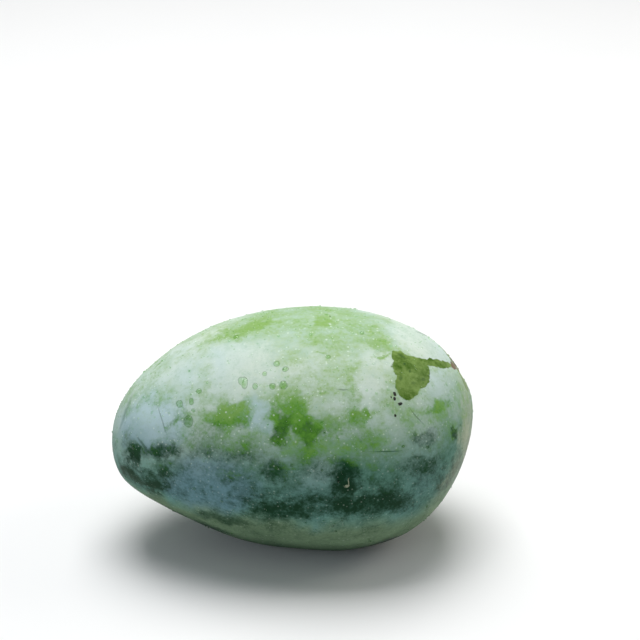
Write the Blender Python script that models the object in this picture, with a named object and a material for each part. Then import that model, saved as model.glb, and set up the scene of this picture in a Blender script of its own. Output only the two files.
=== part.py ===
"""A large green mango, as picked, lying on its side on a small flat spot.

The fruit is one solid. Its form is worked out in the fruit's own directions: along the length
towards the stem, across to its back, and across to its upper cheek. It is then rolled to the way
it lies. Metres, +Z up, the origin on the ground under the middle of the fruit's box.
"""

import math
from dataclasses import dataclass

import bmesh
import bpy
from mathutils import Matrix, Vector

# Size of the whole fruit
LENGTH = 0.148
WIDTH = 0.1001
CHEEK_TO_CHEEK = 0.0941

# How its outline differs from a plain oval
TAPER = 0.128
BLUNTNESS = 0.057
BEND = -0.0027
BEND_MIDPOINT = 0.33
SKEW = 0.0058

# How it lies
ROLL_DEG = 40.0
REST_SPOT_DEPTH = 0.0015

# Stem end
STEM_ROUND_DEG = 21.0
STEM_OUT_DEG = 8.0
BASIN_DEPTH = 0.0013
BASIN_SPREAD_DEG = 7.0
SCAR_RADIUS_DEG = 2.6
SCAR_HEIGHT = 0.0007

# Mesh of the skin: rings crowd together towards the stem end, where the small forms are
SEGMENTS = 64
RINGS = 58
RING_CROWDING = 1.5

SKIN_COLOUR = (0.22, 0.36, 0.16, 1.0)
SKIN_ROUGHNESS = 0.45


def direction(round_deg, out_deg):
    """A way from the fruit's middle: first round from its length to its back, then to its cheek."""
    turn = math.radians(round_deg)
    out = math.radians(out_deg)
    return Vector(
        (math.cos(turn) * math.cos(out), math.sin(turn) * math.cos(out), math.sin(out))
    )


@dataclass
class Swell:
    """A soft rise, or with a negative height a soft hollow, in the skin.

    spread_deg is how far from its middle the swell has fallen to about a third.
    """

    name: str
    round_deg: float
    out_deg: float
    spread_deg: float
    height: float

    def rise(self, way):
        """How far the swell lifts the skin in one direction."""
        away = math.degrees(way.angle(direction(self.round_deg, self.out_deg)))
        return self.height * math.exp(-((away / self.spread_deg) ** 2))


SWELLS = (
    Swell("sinus", 222.0, 0.0, 42.0, -0.0051),
    Swell("beak", 200.0, 0.0, 16.0, 0.0015),
    Swell("shoulder under the stem", 11.0, 4.0, 14.0, 0.0009),
    Swell("flat of the belly", 339.0, -8.0, 16.0, -0.0007),
    Swell("belly", 303.0, -10.0, 22.0, 0.0010),
    Swell("belly towards the tip", 251.0, -19.0, 20.0, 0.0014),
    Swell("back towards the tip", 162.0, 9.0, 16.0, 0.0010),
    Swell("back", 93.0, 24.0, 18.0, -0.0005),
    Swell("back towards the stem", 52.0, 19.0, 16.0, -0.0006),
    Swell("lower cheek towards the stem", 40.0, -48.0, 20.0, -0.0009),
    Swell("lower cheek", 110.0, -55.0, 24.0, 0.0010),
    Swell("upper cheek towards the tip", 165.0, 50.0, 18.0, -0.0006),
)


def clear_scene():
    """Empties the file of every object."""
    for old in list(bpy.data.objects):
        bpy.data.objects.remove(old, do_unlink=True)


def crowd_ring(way):
    """A point of the unit sphere, moved towards the stem's pole as its ring is crowded there."""
    from_pole = way.angle(Vector((0.0, 0.0, 1.0)))
    if from_pole < 1e-6 or from_pole > math.pi - 1e-6:
        return way
    crowded = math.pi * (from_pole / math.pi) ** RING_CROWDING
    around = Vector((way.x, way.y, 0.0)).normalized()
    return around * math.sin(crowded) + Vector((0.0, 0.0, math.cos(crowded)))


def stem_relief(way):
    """The shallow basin at the stem end, with the low round scar standing in it."""
    away = math.degrees(way.angle(direction(STEM_ROUND_DEG, STEM_OUT_DEG)))
    basin = BASIN_DEPTH * math.exp(-((away / BASIN_SPREAD_DEG) ** 2))
    inside = max(0.0, 1.0 - away / SCAR_RADIUS_DEG)
    return SCAR_HEIGHT * min(1.0, 2.5 * inside) - basin


def skin_point(way):
    """The point of the skin in one direction from the middle, in the fruit's own directions."""
    along = way.x
    fullness = 1.0 + TAPER * along + BLUNTNESS * along**2
    middle = BEND * (along**2 - BEND_MIDPOINT) + SKEW * along**3
    point = Vector(
        (
            LENGTH / 2 * along,
            middle + WIDTH / 2 * fullness * way.y,
            CHEEK_TO_CHEEK / 2 * fullness * way.z,
        )
    )
    relief = stem_relief(way) + sum(swell.rise(way) for swell in SWELLS)
    return point + way * relief


def lay_down(mesh):
    """Rolls the fruit to the way it lies, flattens its rest spot and puts the origin under it."""
    bmesh.ops.rotate(
        mesh, cent=(0.0, 0.0, 0.0), matrix=Matrix.Rotation(math.radians(ROLL_DEG), 3, "X"),
        verts=mesh.verts,
    )
    lows = [min(vert.co[axis] for vert in mesh.verts) for axis in range(3)]
    highs = [max(vert.co[axis] for vert in mesh.verts) for axis in range(3)]
    ground = lows[2] + REST_SPOT_DEPTH
    middle = ((lows[0] + highs[0]) / 2, (lows[1] + highs[1]) / 2, ground)
    for vert in mesh.verts:
        vert.co.z = max(vert.co.z, ground)
    bmesh.ops.translate(mesh, vec=-Vector(middle), verts=mesh.verts)


def skin_material():
    """Green skin under a pale waxy bloom, as one mean colour."""
    material = bpy.data.materials.new("green_skin")
    material.use_nodes = True
    shader = material.node_tree.nodes["Principled BSDF"]
    shader.inputs["Base Color"].default_value = SKIN_COLOUR
    shader.inputs["Roughness"].default_value = SKIN_ROUGHNESS
    shader.inputs["Metallic"].default_value = 0.0
    material.diffuse_color = SKIN_COLOUR
    return material


def make_fruit():
    """The fruit: a sphere whose poles are the stem and the tip, drawn out to the skin's form."""
    mesh = bmesh.new()
    bmesh.ops.create_uvsphere(mesh, u_segments=SEGMENTS, v_segments=RINGS, radius=1.0)
    stem = direction(STEM_ROUND_DEG, STEM_OUT_DEG)
    pole_to_stem = Vector((0.0, 0.0, 1.0)).rotation_difference(stem)
    for vert in mesh.verts:
        way = crowd_ring(vert.co.normalized())
        vert.co = skin_point((pole_to_stem @ way).normalized())
    lay_down(mesh)
    bmesh.ops.recalc_face_normals(mesh, faces=mesh.faces)

    data = bpy.data.meshes.new("mango_fruit")
    mesh.to_mesh(data)
    mesh.free()
    data.shade_smooth()
    data.materials.append(skin_material())
    fruit = bpy.data.objects.new("mango_fruit", data)
    bpy.context.scene.collection.objects.link(fruit)
    return fruit


def main():
    """Builds the mango."""
    clear_scene()
    make_fruit()


main()
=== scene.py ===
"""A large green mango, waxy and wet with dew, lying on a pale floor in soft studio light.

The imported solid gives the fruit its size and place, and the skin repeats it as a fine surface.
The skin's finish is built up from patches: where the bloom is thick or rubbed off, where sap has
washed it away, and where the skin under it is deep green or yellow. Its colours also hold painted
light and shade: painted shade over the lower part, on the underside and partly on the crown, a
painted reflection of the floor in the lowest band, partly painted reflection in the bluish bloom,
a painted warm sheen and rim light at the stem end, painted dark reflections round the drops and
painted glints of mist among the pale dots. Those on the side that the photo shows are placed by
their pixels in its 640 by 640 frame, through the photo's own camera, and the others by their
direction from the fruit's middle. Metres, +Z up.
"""

import logging
import math
import random
from dataclasses import dataclass, field
from enum import Enum
from typing import Any

import bmesh
import bpy
from mathutils import Matrix, Vector, noise
from mathutils.bvhtree import BVHTree


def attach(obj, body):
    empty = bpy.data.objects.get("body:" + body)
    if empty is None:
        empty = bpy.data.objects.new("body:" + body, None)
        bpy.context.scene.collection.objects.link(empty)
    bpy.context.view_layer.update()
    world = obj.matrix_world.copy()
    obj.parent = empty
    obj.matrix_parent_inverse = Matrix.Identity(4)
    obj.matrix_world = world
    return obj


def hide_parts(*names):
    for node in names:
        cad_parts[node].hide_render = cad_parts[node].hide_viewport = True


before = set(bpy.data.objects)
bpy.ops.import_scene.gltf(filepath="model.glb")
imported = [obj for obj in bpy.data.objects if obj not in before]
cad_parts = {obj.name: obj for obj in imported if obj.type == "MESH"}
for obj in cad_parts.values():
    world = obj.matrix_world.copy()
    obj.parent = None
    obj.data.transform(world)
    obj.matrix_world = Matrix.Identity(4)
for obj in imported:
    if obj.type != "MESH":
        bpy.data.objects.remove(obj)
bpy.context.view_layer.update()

log = logging.getLogger("mango")

FRUIT_NODE = "mango_fruit"
BODY = "root"

Colour = tuple[float, float, float]
# The least and the most that a drawn value can be
Range = tuple[float, float]
# Where a fade is nothing, and where it is full
Fade = tuple[float, float]
# The size of a noise's features, and how far it moves a place
Wobble = tuple[float, float]
# The size of a noise's features, how many finer layers it has, and how strong those are
Cloud = tuple[float, float, float]

# The fruit's middle, from which its directions are measured, and how it is rolled
FRUIT_MIDDLE = Vector((-0.0008, -0.0010, 0.0465))
ROLL_DEG = 40.0
STEM_ROUND_DEG = 21.0
STEM_OUT_DEG = 8.0


def fruit_way(round_deg: float, out_deg: float) -> Vector:
    """Finds a way from the fruit's middle, in the frame's directions.

    Args:
        round_deg: The turn from the fruit's length towards its back.
        out_deg: The turn from there towards its upper cheek.

    Returns:
        A vector one unit long.
    """
    turn, out = math.radians(round_deg), math.radians(out_deg)
    own = Vector(
        (math.cos(turn) * math.cos(out), math.sin(turn) * math.cos(out), math.sin(out))
    )
    return Matrix.Rotation(math.radians(ROLL_DEG), 3, "X") @ own


STEM_WAY = fruit_way(STEM_ROUND_DEG, STEM_OUT_DEG)

# A distance from the fruit's middle at which every line starts outside the fruit
OUTSIDE = 0.2


def skin_towards(skin: BVHTree, way: Vector) -> tuple[Vector, Vector]:
    """Finds the skin in one direction from the fruit's middle.

    Args:
        skin: The skin's faces.
        way: The direction.

    Returns:
        The point of the skin, and the way out of it there.
    """
    point, normal, _, _ = skin.ray_cast(FRUIT_MIDDLE + OUTSIDE * way, -way)
    return point, normal


# Patches are turned by whole steps, so that many share the directions they are measured along
TURN_STEP_DEG = 10.0
UNSEEN_TURN_STEP_DEG = 45.0


class Field:
    """A number that varies over a surface. Its operators add Math nodes to the finish."""

    def __init__(self, finish: "Shading", socket: bpy.types.NodeSocket) -> None:
        """Wraps one socket of a finish's nodes."""
        self.finish = finish
        self.socket = socket

    def _maths(self, operation: str, first: Any, second: Any = 0.0) -> "Field":
        """Adds one Math node.

        Args:
            operation: The node's operation.
            first: Its first value, a number or a field.
            second: Its second value.

        Returns:
            The node's result.
        """
        made = self.finish.node("ShaderNodeMath", {"operation": operation}, {0: first, 1: second})
        return Field(self.finish, made.outputs[0])

    def __add__(self, other: Any) -> "Field":
        """self + other."""
        return self._maths("ADD", self, other)

    __radd__ = __add__

    def __sub__(self, other: Any) -> "Field":
        """self - other."""
        return self._maths("SUBTRACT", self, other)

    def __rsub__(self, other: Any) -> "Field":
        """other - self."""
        return self._maths("SUBTRACT", other, self)

    def __mul__(self, other: Any) -> "Field":
        """self * other."""
        return self._maths("MULTIPLY", self, other)

    __rmul__ = __mul__

    def most(self, other: Any) -> "Field":
        """The larger of the two."""
        return self._maths("MAXIMUM", self, other)

    def least(self, other: Any) -> "Field":
        """The smaller of the two."""
        return self._maths("MINIMUM", self, other)

    def step(self, low: float, high: float, top: float = 1.0) -> "Field":
        """Fades smoothly between two values.

        Args:
            low: Where the result is 0.
            high: Where the result is top. It may be less than low.
            top: The most that the result can be.

        Returns:
            The faded field.
        """
        made = self.finish.node(
            "ShaderNodeMapRange",
            {"interpolation_type": "SMOOTHSTEP", "clamp": False},
            {"Value": self, "From Min": low, "From Max": high, "To Min": 0.0, "To Max": top},
        )
        return Field(self.finish, made.outputs["Result"])


class Shading:
    """One material's nodes, round its Principled BSDF."""

    def __init__(self, name: str) -> None:
        """Starts a material with nothing but its shader.

        Args:
            name: The material's name.
        """
        self.material = bpy.data.materials.new(name)
        self.material.use_nodes = True
        self.tree = self.material.node_tree
        self.surface = self.tree.nodes["Principled BSDF"]
        self.here = self.node("ShaderNodeTexCoord").outputs["Object"]
        self.turned: dict[tuple[Any, ...], bpy.types.NodeSocket] = {}

    def node(
        self,
        kind: str,
        settings: dict[str, Any] | None = None,
        inputs: dict[Any, Any] | None = None,
    ) -> bpy.types.Node:
        """Adds one node.

        Args:
            kind: The node's type.
            settings: Its settings, which are set first. A ramp's stops are (place, colour) pairs.
            inputs: Values, fields or sockets for its inputs, by name or number.

        Returns:
            The new node.
        """
        made = self.tree.nodes.new(kind)
        for name, value in (settings or {}).items():
            if name == "stops":
                self._set_stops(made.color_ramp, value)
            else:
                setattr(made, name, value)
        for name, value in (inputs or {}).items():
            self.join(value, made.inputs[name])
        return made

    def join(self, value: Any, socket: bpy.types.NodeSocket) -> None:
        """Sets an input to a number or colour, or links a field or socket to it.

        Args:
            value: The number, colour, field or socket.
            socket: The input.
        """
        if isinstance(value, Field):
            value = value.socket
        if isinstance(value, bpy.types.NodeSocket):
            self.tree.links.new(value, socket)
        elif isinstance(value, tuple) and len(value) == 3 and socket.type == "RGBA":
            socket.default_value = (*value, 1.0)
        else:
            socket.default_value = value

    @staticmethod
    def _set_stops(ramp: bpy.types.ColorRamp, stops: list[tuple[float, Colour]]) -> None:
        """Gives a colour ramp its stops.

        Args:
            ramp: The ramp.
            stops: Its stops, each a place from 0 to 1 and a colour.
        """
        while len(ramp.elements) > 1:
            ramp.elements.remove(ramp.elements[-1])
        for number, (place, colour) in enumerate(stops):
            stop = ramp.elements[0] if number == 0 else ramp.elements.new(place)
            stop.position = place
            stop.color = (*colour, 1.0)

    def set(self, **values: Any) -> None:
        """Sets the shader's own inputs, with _ for the spaces in their names."""
        for name, value in values.items():
            self.join(value, self.surface.inputs[name.replace("_", " ")])

    def mottle(
        self,
        features: float,
        detail: float = 4.0,
        rough: float = 0.6,
        at: Any = None,
        wring: float = 0.0,
    ) -> Field:
        """Makes cloudy noise.

        Args:
            features: The size of its largest features, in metres.
            detail: How many finer layers it has.
            rough: How strong the finer layers are.
            at: Where it is read; the surface's own place if None.
            wring: How much it is twisted.

        Returns:
            The noise, from about -0.5 to 0.5.
        """
        made = self.node(
            "ShaderNodeTexNoise",
            {},
            {
                "Vector": at or self.here,
                "Scale": 1.0 / features,
                "Detail": detail,
                "Roughness": rough,
                "Distortion": wring,
            },
        )
        return Field(self, made.outputs["Fac"]) - 0.5

    def blend(self, below: Any, above: Any, cover: Any) -> bpy.types.NodeSocket:
        """Lays one colour over another.

        Args:
            below: The colour beneath.
            above: The colour on top.
            cover: How much of the lower colour is hidden, from 0 to 1.

        Returns:
            The mixed colour's socket.
        """
        made = self.node(
            "ShaderNodeMix",
            {"data_type": "RGBA", "clamp_factor": True},
            {"Factor": cover, 6: below, 7: above},
        )
        return made.outputs[2]

    def ramp(self, value: Any, stops: list[tuple[float, Colour]]) -> bpy.types.NodeSocket:
        """Reads a colour from a ramp of stops."""
        made = self.node("ShaderNodeValToRGB", {"stops": stops}, {"Fac": value})
        return made.outputs["Color"]

    def turn(self, at: bpy.types.NodeSocket, axes: Matrix) -> bpy.types.NodeSocket:
        """Measures places along three directions. Patches that lie alike share one such frame.

        Args:
            at: The places.
            axes: The directions, as the columns of a matrix.

        Returns:
            The measured places' socket.
        """
        key = (at.node.name, *(round(value, 4) for row in axes for value in row))
        if key not in self.turned:
            along = [
                self.node(
                    "ShaderNodeVectorMath", {"operation": "DOT_PRODUCT"}, {0: at, 1: axes.col[number]}
                ).outputs["Value"]
                for number in range(3)
            ]
            made = self.node("ShaderNodeCombineXYZ", {}, dict(enumerate(along)))
            self.turned[key] = made.outputs[0]
        return self.turned[key]

    def warp(self, features: float, reach: float, at: Any = None) -> bpy.types.NodeSocket:
        """Moves places about by noise, so that what is read there has uneven edges.

        Args:
            features: The size of the noise's features, in metres.
            reach: About how far a place is moved, in metres.
            at: The places; the surface's own if None.

        Returns:
            The moved places' socket.
        """
        start = at or self.here
        wander = self.node(
            "ShaderNodeTexNoise", {}, {"Vector": start, "Scale": 1.0 / features, "Detail": 2.0}
        )
        centred = self.node(
            "ShaderNodeVectorMath",
            {"operation": "SUBTRACT"},
            {0: wander.outputs["Color"], 1: (0.5, 0.5, 0.5)},
        )
        moved = self.node(
            "ShaderNodeVectorMath",
            {"operation": "MULTIPLY_ADD"},
            {0: centred.outputs[0], 1: (4.0 * reach,) * 3, 2: start},
        )
        return moved.outputs[0]


@dataclass(frozen=True)
class PhotoView:
    """The photo's camera: a long lens that looks down on the fruit from in front.

    centre is a point in the fruit, and the lens looks to the right of it and above it, so that the
    fruit lies where it does in the picture.
    """

    lens_mm: float = 120.0
    sensor_mm: float = 36.0
    frame_px: float = 640.0
    elevation_deg: float = 26.0
    distance: float = 0.872
    centre: Vector = field(default_factory=lambda: Vector((0.0, 0.0, 0.048)))
    looks_right: float = 0.0110
    looks_above: float = 0.0429

    @property
    def turn(self) -> Matrix:
        """Works out how the camera is turned.

        Returns:
            Its right, up and back as the columns of a matrix.
        """
        tilt = math.radians(self.elevation_deg)
        right = Vector((1.0, 0.0, 0.0))
        up = Vector((0.0, math.sin(tilt), math.cos(tilt)))
        back = Vector((0.0, -math.cos(tilt), math.sin(tilt)))
        return Matrix((right, up, back)).transposed()

    @property
    def place(self) -> Vector:
        """Where the camera stands."""
        return self.centre + self.turn @ Vector((self.looks_right, self.looks_above, self.distance))

    @property
    def focal_px(self) -> float:
        """The lens's focal length in pixels of the photo."""
        return self.lens_mm / self.sensor_mm * self.frame_px

    def way(self, across: float, down: float) -> Vector:
        """The way that the camera looks through a pixel."""
        half = self.frame_px / 2
        return (self.turn @ Vector((across - half, half - down, -self.focal_px))).normalized()

    def metres_per_pixel(self, point: Vector) -> float:
        """How large a pixel is at a point's distance."""
        depth = (self.place - point).dot(self.turn @ Vector((0.0, 0.0, 1.0)))
        return depth / self.focal_px

    def meet(self, skin: BVHTree, across: float, down: float) -> tuple[Vector, Vector] | None:
        """Finds what is seen through a pixel.

        Args:
            skin: The skin's faces.
            across: The pixel's place across the photo.
            down: Its place down the photo.

        Returns:
            The point of the skin and the way out of it, or None beside the fruit.
        """
        point, normal, _, _ = skin.ray_cast(self.place, self.way(across, down))
        if point is None:
            log.warning("the pixel %.1f, %.1f lies beside the fruit", across, down)
            return None
        return point, normal

    def make(self) -> bpy.types.Object:
        """Makes the camera and looks through it.

        Returns:
            The camera.
        """
        data = bpy.data.cameras.new("photo_camera")
        data.lens = self.lens_mm
        data.sensor_width = self.sensor_mm
        camera = bpy.data.objects.new("photo_camera", data)
        camera.matrix_world = Matrix.Translation(self.place) @ self.turn.to_4x4()
        bpy.context.scene.collection.objects.link(camera)
        bpy.context.scene.camera = camera
        return camera


class Kind(Enum):
    """What a patch of the skin is."""

    BLOOM = "thick bloom"
    RUBBED = "bloom rubbed off"
    DEEP = "deep green under the bloom"
    YELLOW = "yellow green under the bloom"
    # Bluish bloom, partly its own tint and partly painted reflection of bluish light
    COOL = "bluish bloom"
    SAP = "bloom washed away by sap"
    # On the rim at the stem end this paints a warm sheen and rim light
    WARM = "cream skin"
    CORK = "brown cork"
    SCRATCH = "dark scratch"
    # Its edge also carries a painted dark reflection round the drop
    WET = "skin wet under a drop"


@dataclass(frozen=True)
class Patch:
    """A patch of the skin, as an ellipsoid whose edge fades.

    axes are its own directions as columns, reach is its half sizes along them, and soft is how
    much of them its edge takes up.
    """

    kind: Kind
    place: Vector
    axes: Matrix
    reach: Vector
    strength: float
    soft: float

    def mask(self, finish: Shading, at: bpy.types.NodeSocket) -> Field:
        """Makes the patch as a field.

        Args:
            finish: The finish that it belongs to.
            at: The places that it is read at.

        Returns:
            Its strength inside, fading to 0 outside.
        """
        per_metre = Vector(1.0 / size for size in self.reach)
        shift = -(self.axes.transposed() @ self.place) * per_metre
        own = finish.node(
            "ShaderNodeVectorMath",
            {"operation": "MULTIPLY_ADD"},
            {0: finish.turn(at, self.axes), 1: per_metre, 2: shift},
        )
        away = finish.node("ShaderNodeVectorMath", {"operation": "LENGTH"}, {0: own.outputs[0]})
        distance = Field(finish, away.outputs["Value"])
        return distance.step(1.0 + self.soft, 1.0 - self.soft, self.strength)


@dataclass(frozen=True)
class Seen:
    """A patch on the side that the photo shows, by its pixels there."""

    kind: Kind
    across: float
    down: float
    half_width: float
    half_height: float
    turn_deg: float = 0.0
    strength: float = 1.0
    soft: float = 0.5

    # How far a patch reaches along the line of sight, enough to follow the skin's slope
    DEPTH = 0.024

    def put(self, view: PhotoView, skin: BVHTree) -> Patch | None:
        """Places the patch where the camera sees it on the skin.

        Args:
            view: The photo's camera.
            skin: The skin's faces, for the line of sight to meet.

        Returns:
            The placed patch, or None where the line of sight misses the fruit.
        """
        met = view.meet(skin, self.across, self.down)
        if met is None:
            return None
        point = met[0]
        size = view.metres_per_pixel(point)
        turn_deg = TURN_STEP_DEG * round(self.turn_deg / TURN_STEP_DEG)
        axes = view.turn @ Matrix.Rotation(math.radians(turn_deg), 3, "Z")
        reach = Vector((self.half_width * size, self.half_height * size, self.DEPTH))
        return Patch(self.kind, point, axes, reach, self.strength, self.soft)


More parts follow.
